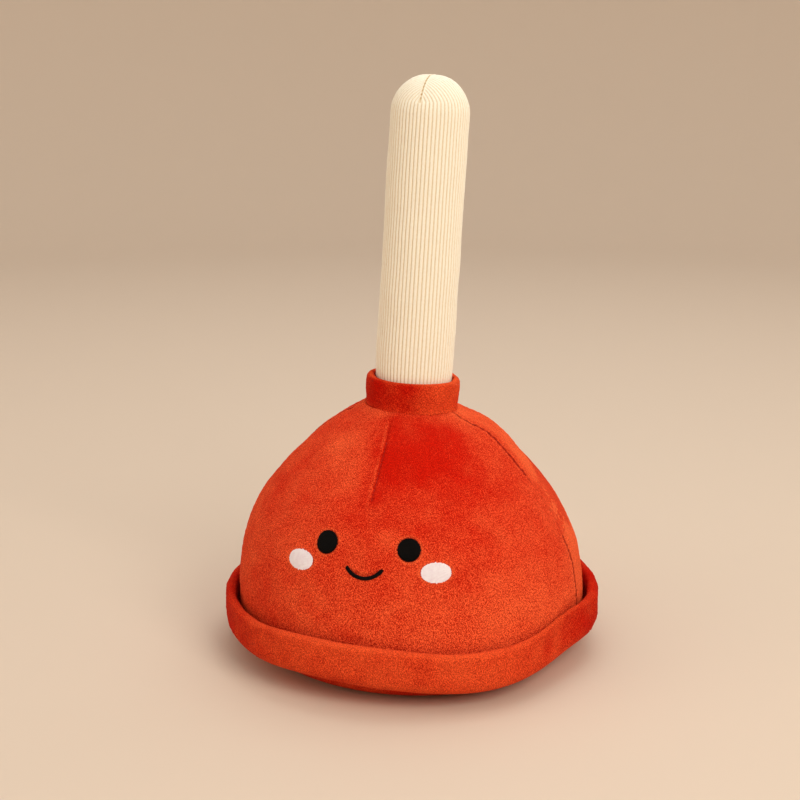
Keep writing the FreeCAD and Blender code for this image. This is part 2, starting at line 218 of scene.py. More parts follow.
# polyester embroidery thread: smooth twisted filament with a soft shine
threads = {
    "black": "#030101", "pink": "#FFF0FA", "red": "#9C1A05", "tan": "#E6D2AA",
    "tint": 2.0, "dark": 0.86, "pale": 1.12, "depth": 0.06,
}
# crimped polyester fibre or bonded web: white, matte and matted
fibre = {"filling": "#F4F3EE", "webbing": "#EFEDE8", "tape": "#F5F2EC", "dark": 0.8, "depth": 0.5}


def makeVelour(name, deep, light):
    material, tree, shader = newMaterial(name)
    place = addNode(tree, "ShaderNodeTexCoord").outputs["Object"]
    # nap: the painted share of the light colour, for the nap and for painted light and shade
    nap = addNode(tree, "ShaderNodeAttribute", {"attribute_name": "nap"}).outputs["Fac"]
    lie = addNode(tree, "ShaderNodeMapping", inputs={"Scale": (1.0, 1.0, 0.62)}, links={"Vector": place})
    grain = addNode(tree, "ShaderNodeTexNoise",
                    inputs={"Scale": 1 / (velour["grain"] * mm), "Detail": 1.5, "Roughness": 0.6},
                    links={"Vector": lie.outputs["Vector"]}).outputs["Fac"]
    patch = addNode(tree, "ShaderNodeTexNoise",
                    inputs={"Scale": 1 / (velour["patch"] * mm), "Detail": 3.0, "Roughness": 0.55},
                    links={"Vector": place})
    spread = addNode(tree, "ShaderNodeMapRange",
                     inputs={"From Min": velour["tuftLow"], "From Max": velour["tuftHigh"],
                             "To Min": -velour["fleck"], "To Max": velour["fleck"]},
                     links={"Value": grain})
    # how much the pile stands open here, and so how strongly it is flecked
    openPile = addNode(tree, "ShaderNodeAttribute", {"attribute_name": "fleck"}).outputs["Fac"]
    fleck = addNode(tree, "ShaderNodeMath", {"operation": "MULTIPLY"},
                    links={0: spread.outputs["Result"], 1: openPile})
    cloud = addNode(tree, "ShaderNodeMapRange",
                    inputs={"From Min": 0.3, "From Max": 0.7,
                            "To Min": -velour["cloud"], "To Max": velour["cloud"]},
                    links={"Value": patch.outputs["Fac"]})
    uneven = addNode(tree, "ShaderNodeMath", {"operation": "ADD"},
                     links={0: fleck.outputs[0], 1: cloud.outputs["Result"]})
    share = addNode(tree, "ShaderNodeMath", {"operation": "ADD", "use_clamp": True},
                    links={0: uneven.outputs[0], 1: nap})
    colour = addNode(tree, "ShaderNodeMix", {"data_type": "RGBA"},
                     inputs={6: hexColour(deep), 7: hexColour(light)},
                     links={0: share.outputs[0]})
    # single tufts lean towards or away from the light
    shade = addNode(tree, "ShaderNodeMapRange",
                    inputs={"From Min": velour["tuftLow"], "From Max": velour["tuftHigh"],
                            "To Min": velour["tuftDark"], "To Max": velour["tuftPale"]},
                    links={"Value": grain})
    tufts = addNode(tree, "ShaderNodeMix", {"data_type": "RGBA", "blend_type": "MULTIPLY"},
                    inputs={0: 1.0},
                    links={6: colour.outputs[2], 7: shade.outputs["Result"]})
    # painted shade: in seams and dart creases the colour is mixed towards a dark red, partly the knitted ground
    # that shows where the pile parts and partly painted shadow down in the crease
    crease = addNode(tree, "ShaderNodeAttribute", {"attribute_name": "crease"}).outputs["Fac"]
    creaseShaded = addNode(tree, "ShaderNodeMix", {"data_type": "RGBA"},
                     inputs={7: hexColour(velour["ground"])},
                     links={0: crease, 6: tufts.outputs[2]})
    relief = addNode(tree, "ShaderNodeBump", inputs={"Strength": 0.7, "Distance": velour["tuftDepth"] * mm},
                     links={"Height": grain})
    setSockets(tree, shader,
               {"Roughness": 0.95, "Specular IOR Level": 0.08, "Sheen Weight": 0.15,
                "Sheen Roughness": 0.35, "Sheen Tint": hexColour(velour["bloom"])},
               {"Base Color": creaseShaded.outputs[2], "Normal": relief.outputs["Normal"]})
    return material


def makeCorduroy(name):
    material, tree, shader = newMaterial(name)
    place = addNode(tree, "ShaderNodeTexCoord").outputs["Object"]
    wale = addNode(tree, "ShaderNodeAttribute", {"attribute_name": "wale"}).outputs["Fac"]
    lie = addNode(tree, "ShaderNodeMapping", inputs={"Scale": (1.0, 1.0, 0.5)}, links={"Vector": place})
    grain = addNode(tree, "ShaderNodeTexNoise",
                    inputs={"Scale": 1 / (corduroy["grain"] * mm), "Detail": 2.0},
                    links={"Vector": lie.outputs["Vector"]}).outputs["Fac"]
    fleck = addNode(tree, "ShaderNodeMapRange",
                    inputs={"From Min": 0.3, "From Max": 0.7, "To Min": -0.12, "To Max": 0.1},
                    links={"Value": grain})
    share = addNode(tree, "ShaderNodeMath", {"operation": "ADD", "use_clamp": True},
                    links={0: fleck.outputs["Result"], 1: wale})
    colour = addNode(tree, "ShaderNodeMix", {"data_type": "RGBA"},
                     inputs={6: hexColour(corduroy["groove"]), 7: hexColour(corduroy["ridge"])},
                     links={0: share.outputs[0]})
    relief = addNode(tree, "ShaderNodeBump", inputs={"Strength": 0.5, "Distance": corduroy["depth"] * mm},
                     links={"Height": grain})
    setSockets(tree, shader,
               {"Roughness": 0.9, "Specular IOR Level": 0.2, "Sheen Weight": 0.35,
                "Sheen Roughness": 0.4, "Sheen Tint": hexColour(corduroy["bloom"])},
               {"Base Color": colour.outputs[2], "Normal": relief.outputs["Normal"]})
    return material


def makeThread(name, code, twist, roughness=0.45, shine=0.2):
    # twist is the spacing of the filament's turns, in millimetres
    material, tree, shader = newMaterial(name)
    place = addNode(tree, "ShaderNodeTexCoord").outputs["Object"]
    tint = addNode(tree, "ShaderNodeTexNoise", inputs={"Scale": 1 / (threads["tint"] * mm), "Detail": 2.0},
                   links={"Vector": place})
    strand = addNode(tree, "ShaderNodeTexNoise", inputs={"Scale": 1 / (twist * mm), "Detail": 1.0},
                     links={"Vector": place})
    base = hexColour(code)
    colour = addNode(tree, "ShaderNodeMix", {"data_type": "RGBA"},
                     inputs={6: dimmed(base, threads["dark"]), 7: dimmed(base, threads["pale"])},
                     links={0: tint.outputs["Fac"]})
    relief = addNode(tree, "ShaderNodeBump", inputs={"Strength": 0.4, "Distance": threads["depth"] * mm},
                     links={"Height": strand.outputs["Fac"]})
    setSockets(tree, shader,
               {"Roughness": roughness, "Specular IOR Level": shine},
               {"Base Color": colour.outputs[2], "Normal": relief.outputs["Normal"]})
    return material


def makeFibre(name, code, size):
    material, tree, shader = newMaterial(name)
    place = addNode(tree, "ShaderNodeTexCoord").outputs["Object"]
    matted = addNode(tree, "ShaderNodeTexNoise",
                     inputs={"Scale": 1 / (size * mm), "Detail": 6.0, "Roughness": 0.7},
                     links={"Vector": place})
    base = hexColour(code)
    colour = addNode(tree, "ShaderNodeMix", {"data_type": "RGBA"},
                     inputs={6: dimmed(base, fibre["dark"]), 7: base},
                     links={0: matted.outputs["Fac"]})
    relief = addNode(tree, "ShaderNodeBump", inputs={"Strength": 0.6, "Distance": fibre["depth"] * mm},
                     links={"Height": matted.outputs["Fac"]})
    setSockets(tree, shader,
               {"Roughness": 1.0, "Sheen Weight": 0.2},
               {"Base Color": colour.outputs[2], "Normal": relief.outputs["Normal"]})
    return material


bellVelour = makeVelour("red polyester velour, bell", velour["deep"], velour["light"])
brimVelour = makeVelour("red polyester velour, brim", velour["brimDeep"], velour["brimLight"])
blackThread = makeThread("black polyester embroidery thread", threads["black"], 0.25, 0.6, 0.1)
pinkThread = makeThread("pale pink polyester embroidery thread", threads["pink"], 0.25)
redThread = makeThread("red polyester sewing thread", threads["red"], 0.2)
tanThread = makeThread("tan polyester sewing thread", threads["tan"], 0.2)
handleCorduroy = makeCorduroy("cream cotton corduroy")
fibrefill = makeFibre("polyester fibre filling", fibre["filling"], 2.5)
webbing = makeFibre("bonded polyester stabiliser", fibre["webbing"], 0.8)
labelTape = makeFibre("woven polyester label tape", fibre["tape"], 0.4)
print("materials made")


handle = {
    "radius": 20.2, "height": 300.0, "lean": 3.4, "heading": 18.0, "neckAt": 130.0,
    "cloth": 1.6, "tuck": 6.0,
    "wales": 62, "waleHeight": 0.5, "perWale": 8,
    "roll": 0.25, "groove": 0.3, "hole": 0.7, "tipPull": 0.4, "gripped": 0.5,
    "wider": 0.15, "narrower": 0.45,    # at the foot and towards the tip
    "tipDrop": 14.0,        # the seam over the tip starts this far down the front
    "row": 2.4, "tipRow": 0.36,
    "stitch": 2.4,
}


frontLow, frontHigh = boxOf("bell_front_panel")
bell = {
    "radius": (frontHigh.x - frontLow.x) / 2,
    "widestAt": 33.0,
    "neckRadius": 24.2, "neckAt": 130.0,
    "shoulderIn": 0.27, "shoulderUp": 0.57,
    "seamInset": 2.9, "seamAt": 11.5,
    "cloth": 1.6, "hem": 9.0, "plyGap": 0.06,
    "seamPlane": -6.0,      # y of the side seams
    "dartEnd": 92.6, "dartTop": 128.5,
    "step": 0.78, "turns": 720,
    "fullSide": math.radians(-72), "full": 1.8,   # the side that is stuffed fuller, and by how much
    "lumps": 0.3, "smallLumps": 0.16, "neckRoll": 1.0, "shoulder": 0.8,
}
# how deep and how dark each part of a seam is, in millimetres and in shares: shade is painted shade along the seam
# line, pale a painted highlight beside it
sideSeam = {"groove": 0.15, "pull": 0.35, "pucker": 0.12, "shade": 0.8, "pale": 0.22}
dart = {
    "sway": 5.4, "from": 116.0, "reach": 13.0,
    "groove": 0.5, "pull": 0.45, "roll": 0.25, "pucker": 0.12, "dimple": 0.35,
    "shade": 0.4, "pale": 0.3, "deep": 0.12,
}
neck = {"squareFrom": 117, "pleats": 0.22, "pleatCount": 11, "roll": 0.5, "pale": 0.2}
# how the nap lies, from 0 away to 1 towards, and what each stroked or sewn place adds to it; this share sets the
# colour, and some places add painted light: behind is a painted sheen, lowRight partly painted light, crease
# painted shade
bellNapAndLight = {
    "usual": 0.44, "wide": 0.1, "fine": 0.05,
    "topFront": -0.36, "upper": -0.08, "lowRight": 0.2, "behind": 0.5, "halo": 0.35, "crease": -0.4,
}
bellFleck = {"usual": 0.62, "topFront": -0.2, "lowRight": 0.3, "behind": -0.5, "left": -0.15}
sunk = {"depth": 0.5, "ridge": 0.22}    # how the pile sinks under the face and stands up round it


def arcThrough(start, normal, end):
    # the arc that leaves start square to normal and passes through end
    chord = end - start
    radius = -chord.dot(chord) / (2 * chord.dot(normal))
    return start - normal * radius, radius


def bellArcs():
    side = Vector((bell["radius"], bell["widestAt"]))
    end = Vector((bell["neckRadius"], bell["neckAt"]))
    shoulder = Vector((side.x - bell["shoulderIn"] * (side.x - end.x),
                       side.y + bell["shoulderUp"] * (end.y - side.y)))
    middle, middleRadius = arcThrough(side, Vector((1, 0)), shoulder)
    top, topRadius = arcThrough(shoulder, (shoulder - middle) / middleRadius, end)
    seam = Vector((side.x - bell["seamInset"], bell["seamAt"]))
    low, lowRadius = arcThrough(side, Vector((1, 0)), seam)
    return shoulder.y, (top, topRadius), (middle, middleRadius), (low, lowRadius)


shoulderAt, topArc, middleArc, lowArc = bellArcs()


def bellRadius(z, inset=0.0):
    z = np.asarray(z, float)
    def on(arc):
        return arc[0].x + np.sqrt(np.maximum((arc[1] - inset) ** 2 - (z - arc[0].y) ** 2, 0))
    return np.where(z > shoulderAt, on(topArc), np.where(z > bell["widestAt"], on(middleArc), on(lowArc)))


def bellNormal(z):
    slope = bellRadius(z + 0.5) - bellRadius(z - 0.5)
    length = np.sqrt(1 + slope**2)
    return 1 / length, -slope / length


def onBell(angle, z, lift=0.0):
    # a point on the bell's cloth; the angle is from the front towards +X
    out, up = bellNormal(z)
    r = float(bellRadius(z) + lift * out)
    return Vector((r * math.sin(angle), -r * math.cos(angle), float(z + lift * up)))


def frontDartAngle(z):
    # the dart runs straight down the front and veers to one side at the neck
    return np.radians(0.5 - dart["sway"] * np.clip((z - dart["from"]) / dart["reach"], 0, 1) ** 2)


faceSpots = []
for node, halfWidth, halfHeight in (("left_eye", 5.6, 5.85), ("right_eye", 5.6, 5.85),
                                    ("left_cheek", 7.55, 4.95), ("right_cheek", 7.55, 4.95),
                                    ("mouth", 9.4, 3.0)):
    low, high = boxOf(node)
    middle = (low + high) / 2
    faceSpots.append({"node": node, "angle": math.atan2(middle.x, -middle.y), "z": middle.z,
                      "half": (halfWidth, halfHeight)})


def bellSwell(points):
    # the soft swelling of the stuffed bell: fuller on one side, and round at the shoulders
    z = points[:, 2]
    side = np.cos(angleOf(points) - bell["fullSide"])
    fade = smoothStep((z - 12.0) / 8.0)
    lift = bell["lumps"] * waves(points, 46, 3) + bell["smallLumps"] * waves(points, 17, 4)
    lift = (lift + bell["full"] * side * bump(z - 86, 36)) * fade
    lift = lift + bell["neckRoll"] * bump(z - 118, 8)
    return lift + bell["shoulder"] * bump(z - 114, 10) * np.clip(-side, 0, 1)


def bellRelief(points):
    # how far the bell's cloth stands in or out, how its nap lies, and where it is creased or flecked
    x, y, z = points.T
    angle = angleOf(points)
    r = np.hypot(x, y)
    lift = bellSwell(points) + pileRelief(points, 5)
    # side seams: a groove, a soft pull and small puckers
    away = np.abs(y - bell["seamPlane"])
    pucker = np.sin(z * 1.5 + 2 * waves(points, 30, 8)) * bump(away, 3.5)
    lift += sideSeam["pucker"] * pucker - sideSeam["groove"] * bump(away, 1.2) - sideSeam["pull"] * bump(away, 8.0)
    # painted shade along the seam line, dotted like the stitches
    crease = sideSeam["shade"] * bump(y - bell["seamPlane"] - 0.45, 0.9)
    crease = crease * (0.62 + 0.38 * np.cos(z * 2.6))
    nap = bellNapAndLight["usual"] + bellNapAndLight["wide"] * waves(points, 38, 11) + bellNapAndLight["fine"] * waves(points, 14, 12)
    # a painted highlight beside the seam
    nap += sideSeam["pale"] * bump(away - 1.9, 0.9)
    # darts
    for middle in (frontDartAngle(z), np.full_like(z, math.pi)):
        turnAway = (angle - middle + math.pi) % (2 * math.pi) - math.pi
        across = r * turnAway
        near = np.abs(turnAway) < 1.2
        sewn = smoothStep((z - bell["dartEnd"]) / 5.0) * smoothStep((bell["dartTop"] - z) / 4.0) * near
        lift -= (dart["groove"] * bump(across, 0.8) + dart["pull"] * bump(across, 6.0)) * sewn
        lift += dart["roll"] * bump(across + 2.0, 1.1) * sewn
        lift += dart["pucker"] * np.sin(z * 1.4) * bump(across, 4.0) * sewn
        end = np.hypot(across, (z - bell["dartEnd"]) * 1.15)
        lift -= dart["dimple"] * bump(end, 3.0) * near
        # painted shade down the dart's fold
        shade = dart["shade"] * bump(across, 0.55) * (0.75 + 0.25 * np.cos(z * 2.9))
        crease = np.maximum(crease, shade * sewn)
        # a painted highlight down the left of the fold, and a deeper band to its right
        nap += (dart["pale"] * bump(across + 1.5, 0.8) - dart["deep"] * bump(across - 3.0, 3.5)) * sewn
    # small pleats where the neck is drawn in
    fromNeck = np.clip(bell["neckAt"] - z, 0, None)
    pleats = np.cos(neck["pleatCount"] * angle + 1.5 * np.sin(3 * angle))
    lift += neck["pleats"] * bump(fromNeck, 5.0) * pleats
    lift += neck["roll"] * bump(fromNeck, 2.2)
    nap = nap + neck["pale"] * bump(fromNeck, 2.5)
    # the stitched face sinks into the pile, which stands up round it
    halo = np.zeros_like(z)
    for spot in faceSpots:
        u = (angle - spot["angle"]) * r / spot["half"][0]
        v = (z - spot["z"]) * 1.17 / spot["half"][1]
        if spot["node"] == "mouth":
            v = (z - spot["z"] + 0.9 - 2.6 * u**2) * 1.17 / 1.3
            reach = np.sqrt((np.abs(u) / 1.02) ** 6 + v**2)
        else:
            reach = np.hypot(u, v)
        lift += -sunk["depth"] * smoothStep((1.12 - reach) / 0.2) + sunk["ridge"] * bump(reach - 1.16, 0.11)
        halo = np.maximum(halo, bump(reach - 1.13, 0.1))
    # the nap lies smooth and deep at the top of the front; low on the right the colour is lighter, partly
    # brushed-up nap and partly painted light on the lit side
    turned = np.degrees(angle)
    topFront = smoothStep((z - 66) / 50) * smoothStep((turned + 20) / 26) * smoothStep((78 - turned) / 40)
    lowRight = smoothStep((70 - z) / 45) * smoothStep((turned + 25) / 50)
    # behind: a pale band down the right side towards the back, a painted sheen
    behind = smoothStep((turned - 84) / 8) * smoothStep((150 - turned) / 40)
    places = {
        "topFront": topFront, "upper": smoothStep((z - 55) / 45), "lowRight": lowRight, "behind": behind,
        "left": smoothStep((-turned - 30) / 40), "halo": halo, "crease": crease,
    }
    nap += sum(bellNapAndLight[name] * share for name, share in places.items() if name in bellNapAndLight)
    fleck = bellFleck["usual"]
    fleck = fleck + sum(bellFleck[name] * share for name, share in places.items() if name in bellFleck)
    return lift, nap, crease, fleck


def bellSurface(points):
    lift, nap, crease, fleck = bellRelief(points)
    out, up = bellNormal(points[:, 2])
    angle = angleOf(points)
    moved = points + lift[:, None] * np.stack([np.sin(angle) * out, -np.cos(angle) * out, up], axis=1)
    # the neck is cut square to the leaning handle
    heading = math.radians(handle["heading"])
    towards = points[:, 0] * math.cos(heading) + points[:, 1] * math.sin(heading)
    towards *= np.minimum(1, bell["neckRadius"] / radiusOf(points))
    square = smoothStep((points[:, 2] - neck["squareFrom"]) / (bell["neckAt"] - neck["squareFrom"]))
    moved[:, 2] -= math.tan(math.radians(handle["lean"])) * towards * square
    return moved, nap, crease, fleck


def makeBell():
    bottom = boxOf("bell_front_panel")[0].z
    neckTop = bell["neckAt"] - 0.1
    heights = np.linspace(neckTop, bottom, 900)
    outer = evenly(list(zip(bellRadius(heights), heights)), bell["step"])
    hemIn = float(bellRadius(bottom)) - bell["hem"]
    inner = [(float(bellRadius(z, bell["cloth"])), z) for z in np.linspace(bottom + 6, neckTop - 2.5, 16)]
    hem = evenly([(outer[-1][0], bottom), (hemIn, bottom)], 1.5)[1:] + [(hemIn, bottom + bell["cloth"])]
    hem.append((inner[0][0] - 1.5, bottom + bell["cloth"]))
    lip = [(bell["neckRadius"] - 2.4, neckTop - 1.0)]
    whole = toMesh(spinOutline(outer + hem + inner + lip, bell["turns"]), "bell")
    points = coords(whole)
    r = radiusOf(points)
    skin = (np.abs(r - bellRadius(points[:, 2])) < 0.02) & (points[:, 2] > bottom + 0.01)
    skin |= (np.abs(points[:, 2] - neckTop) < 0.01)
    moved, nap, crease, fleck = bellSurface(points)
    keep = smoothStep((points[:, 2] - bottom) / 3.0)[:, None] * skin[:, None]
    setCoords(whole, points + (moved - points) * keep)
    paint(whole, "nap", np.where(skin, nap, 0.4))
    paint(whole, "crease", np.where(skin, crease, 0.0))
    paint(whole, "fleck", fleck)
    for name, facing in (("bellFrontPanel", -1), ("bellBackPanel", 1)):
        bm = bmesh.new()
        bm.from_mesh(whole)
        cut = bmesh.ops.bisect_plane(bm, geom=bm.verts[:] + bm.edges[:] + bm.faces[:],
                                     plane_co=(0, bell["seamPlane"] + facing * bell["plyGap"], 0),
                                     plane_no=(0, -facing, 0), clear_outer=True)
        rim = [e for e in cut["geom_cut"] if isinstance(e, bmesh.types.BMEdge)]
        bmesh.ops.holes_fill(bm, edges=rim)
        node = "bell_front_panel" if facing < 0 else "bell_back_panel"
        piece = makePiece(name, toMesh(bm, name), bellVelour, [node])
    bpy.data.meshes.remove(whole)
    print("bell panels made")


makeBell()


brim = {
    "top": boxOf("brim_band")[1].z,
    "thick": 5.5, "rootHalf": 1.45, "bend": 8.2, "hem": 9.0,
    "step": 0.85, "turns": 720,
    "nap": 0.36, "fleck": 0.5, "gives": 0.35,    # gives: how much of a press the inner face takes up
    # soft bulges of the free edge: angle from the front, width in degrees, out, up
    "bulges": [(71, 16, -5.0, 0.0), (94, 12, 0.6, 0.6), (112, 20, -0.8, 1.5),
               (150, 40, 0.2, 1.2), (-150, 40, 0.0, 0.6), (20, 25, 0.3, 0.3)],
    # where the whole band rides up or sags outside its seam: angle, width, up
    "sags": [(-10, 20, 1.7), (-38, 14, -0.8), (40, 20, -3.4), (76, 14, 2.6)],
}


def brimOutline(inset):
    # from the root's lower inner end, round the fold, to its upper inner end
    seamRadius = bell["radius"] - bell["seamInset"]
    half = brim["thick"] / 2 - inset
    root = max(brim["rootHalf"] - inset, 0.08)
    middle = seamRadius + brim["bend"]
    turnAt = bell["seamAt"] + brim["bend"]
    inner = seamRadius - brim["hem"]
    top = brim["top"] - inset

    def along(a, side):
        # a point on the outer or inner face where the band bends up
        reach = brim["bend"] + side * (root + (half - root) * smoothStep(a / 1.2))
        return seamRadius + math.sin(a) * reach, turnAt - math.cos(a) * reach

    points = [(inner, bell["seamAt"] - root), (seamRadius - 1, bell["seamAt"] - root)]
    bends = np.linspace(0.1, math.pi / 2, 14)
    points += [along(a, 1) for a in bends]
    points += turn((middle, top - half), half, 0, 180, 16)
    points += [along(a, -1) for a in bends[::-1]]
    points += [(seamRadius - 1, bell["seamAt"] + root), (inner, bell["seamAt"] + root)]
    return points


def brimShift(points):
    x, y, z = points.T
    angle = np.degrees(angleOf(points))
    free = smoothStep((z - bell["seamAt"] - 1.0) / (brim["top"] - bell["seamAt"] - 6.0))
    out = 0.35 * waves(points * (1, 1, 0), 55, 21)
    up = 0.3 * waves(points * (1, 1, 0), 48, 22)
    for at, width, bulgeOut, bulgeUp in brim["bulges"]:
        reach = turnFrom(angle, at)
        out = out + bulgeOut * bump(reach, width)
        up = up + bulgeUp * bump(reach, width)
    up = up * free
    outside = smoothStep((np.hypot(x, y) - bell["radius"] + bell["seamInset"]) / 4.0)
    for at, width, amount in brim["sags"]:
        up = up + amount * bump(turnFrom(angle, at), width) * outside
    low = smoothStep((np.hypot(x, y) - bell["radius"] - 0.5) / 3.0)
    # where the band is pressed in, its inner face gives way less, and so stays clear of the bell
    innerFace = bell["radius"] - bell["seamInset"] + brim["bend"] - brim["thick"] / 2
    outward = smoothStep((np.hypot(x, y) - innerFace) / brim["thick"])
    out = np.where(out < 0, out * (brim["gives"] + (1 - brim["gives"]) * outward), out)
    return out * (0.55 * low + 0.45 * free), up


def makeBrim():
    outer = evenly(brimOutline(0.0), brim["step"])
    inner = evenly(brimOutline(1.45), 2.6)[::-1]
    mesh = toMesh(spinOutline(outer + inner, brim["turns"]), "brimBand")
    points = coords(mesh)
    out, up = brimShift(points)
    angle = angleOf(points)
    moved = points.copy()
    pushOut(moved, angle, out)
    moved[:, 2] += up
    z = points[:, 2]
    pile = pileRelief(points, 23) + 0.22 * waves(points, 14, 25)
    fromFold = brim["top"] - z
    # two faint drag lines run along under the fold, where the turned cloth pulls
    drag = 0.06 * bump(fromFold - 4.2, 1.4) + 0.1 * bump(fromFold - 7.5, 2.0)
    outerSide = radiusOf(points) > bell["radius"] + 5.0
    pushOut(moved, angle, (pile - drag * outerSide) * smoothStep((z - bell["seamAt"]) / 6))
    setCoords(mesh, moved)
    nap = brim["nap"] + 0.12 * waves(points, 34, 26) + 0.07 * waves(points, 12, 27)
    # a painted highlight along the top of the fold
    nap += 0.2 * bump(fromFold, 1.5) + 0.1 * smoothStep((19 - z) / 7)
    # brushed up in front, and darker at the two ends: smooth and deep nap at the right end, painted shade at the
    # left end on the side away from the light
    turned = np.degrees(angle)
    nap += 0.32 * bump(turned - 16, 50) - 0.5 * bump(turned + 66, 26) - 0.7 * bump(turned - 104, 24)
    paint(mesh, "nap", nap)
    paint(mesh, "fleck", brim["fleck"] + 0.1 * waves(points, 20, 28))
    piece = makePiece("brimBand", mesh, brimVelour, ["brim_band"])
    batting = evenly(brimOutline(1.6)[8:-8], 1.6)
    core = toMesh(spinOutline(batting, 240), "brimBatting")
    points = coords(core)
    out, up = brimShift(points)
    pushOut(points, angleOf(points), out)
    points[:, 2] += up
    setCoords(core, points)
    piece = makePiece("brimBatting", core, fibrefill, ["brim_batting"])
    print("brim made")


makeBrim()


base = {"flat": 74.0, "step": 1.1, "turns": 480, "hollow": 0.9, "gather": 0.35, "drawnUp": 2.3}


def makeBase():
    seamRadius = bell["radius"] - bell["seamInset"]
    high = boxOf("bell_base_panel")[1].z
    run = seamRadius - base["flat"]
    bend = (run**2 + high**2) / (2 * high)
    rise = turn((base["flat"], bend), bend, -90, -90 + math.degrees(math.asin(run / bend)), 14)
    outer = evenly([(0, 0), (base["flat"] - 4, 0)] + rise, base["step"])
    hemIn = seamRadius - bell["hem"]
    inner = [(hemIn, high), (hemIn, high - bell["cloth"]), (seamRadius - 3.5, high - bell["cloth"]),
             (base["flat"], 2.2), (base["flat"] - 6, bell["cloth"]), (30, bell["cloth"]), (0, bell["cloth"])]
    mesh = toMesh(spinOutline(outer + inner, base["turns"], closed=False), "bellBasePanel")
    points = coords(mesh)
    z = points[:, 2]
    r = radiusOf(points)
    angle = angleOf(points)
    edge = bump(r - seamRadius, 5.0) * (z < high - 0.1)
    inward = base["gather"] * edge * (1 + np.cos(angle * 60 + 2 * np.sin(7 * angle)))
    pile = pileRelief(points, 31)
    # the cloth lies flat on its highest pile, and hollows a little towards the middle
    hollow = base["hollow"] * smoothStep((62 - r) / 55) + 0.25 * (1 + waves(points, 22, 33)) * (r < base["flat"])
    lower = z < bell["cloth"] * 0.5
    moved = points.copy()
    moved[:, 2] += np.where(lower, np.clip(hollow + pile, 0, 1.3), 0)
    # the rim is drawn up under the front
    drawn = bump(np.degrees(angle) + 26, 42) * bump(r - 86, 9.0) * (z < high - 0.1)
    moved[:, 2] += base["drawnUp"] * drawn
    pushOut(moved, angle, -inward)
    setCoords(mesh, moved)
    paint(mesh, "nap", 0.3 + 0.12 * waves(points, 30, 34) + 0.08 * waves(points, 11, 35))
    paint(mesh, "fleck", np.full(len(points), brim["fleck"]))
    piece = makePiece("bellBasePanel", mesh, brimVelour, ["bell_base_panel"])
    print("underside made")


makeBase()


def leanMatrix():
    heading = math.radians(handle["heading"])
    hinge = Vector((-math.sin(heading), math.cos(heading), 0))
    lean = Matrix.Rotation(math.radians(handle["lean"]), 4, hinge)
    return Matrix.Translation((0, 0, handle["neckAt"])) @ lean


def handleLength():
    rise = handle["height"] - handle["neckAt"] - handle["radius"]
    return rise / math.cos(math.radians(handle["lean"])) + handle["radius"]


def ridgeHeight(count):
    # one rib of pile for each whole number, with a narrow groove between
    return 1 - np.abs(2 * (count % 1) - 1) ** 3.4


def waleField(angle, rise):
    # which rib a point belongs to: straight up the tube, then leaning in to meet over the tip's seam
    start = math.asin(1 - handle["tipDrop"] / handle["radius"])
    lean = np.clip((rise - start) / (math.pi / 2 - start), 0, 1) ** 1.35
    side = np.abs(angle)
    front = side <= math.pi / 2
    fold = np.where(front, side, math.pi - side)
    fold = fold + (math.pi / 2 - fold) * lean
    full = np.where(front, fold, math.pi - fold) * np.sign(angle + 1e-9)
    return full * handle["wales"] / (2 * math.pi)


def handleRelief(points, start):
    x, y, z = points.T
    radius = handle["radius"]
    angle = angleOf(points)
    rise = np.arcsin(np.clip((z - start) / radius, 0, 1))
    seamStart = radius - handle["tipDrop"]
    ridge = ridgeHeight(waleField(angle, rise) + 0.5)
    across = np.abs(x)
    sewnFront = smoothStep((z - start - seamStart + 1.0) / 2.0)
    sewn = np.where(y < 0, sewnFront, 1.0)
    along = np.where(z > start, rise * radius, z - start)
    # the allowance makes a smooth roll beside the seam
    roll = smoothStep((1.5 - across) / 0.8) * sewn * (z > start)
    ridge = ridge * (1 - 0.6 * roll) + 0.5 * roll
    hole = bump((along % handle["stitch"]) - handle["stitch"] / 2, 0.5) * (z > start)
    groove = bump(across, 0.36) * sewn
    lift = (ridge - 1) * handle["waleHeight"] + handle["roll"] * roll
    lift -= groove * (handle["groove"] + handle["hole"] * hole) + handle["tipPull"] * bump(across, 4.5) * sewn
    lift += 0.14 * waves(points, 60, 41) + 0.08 * waves(points, 18, 42) + 0.04 * waves(points, 1.6, 43, 24)
    # held in where the collar grips it, and a little fuller above
    lift -= handle["gripped"] * bump(z - 12, 9)
    # the colour share drops in the grooves, partly the ground and partly painted shade, and further in the seam's
    # stitch holes as painted shade
    wale = 0.1 + 0.9 * ridge - groove * (0.2 + 2.2 * hole)
    return lift, wale


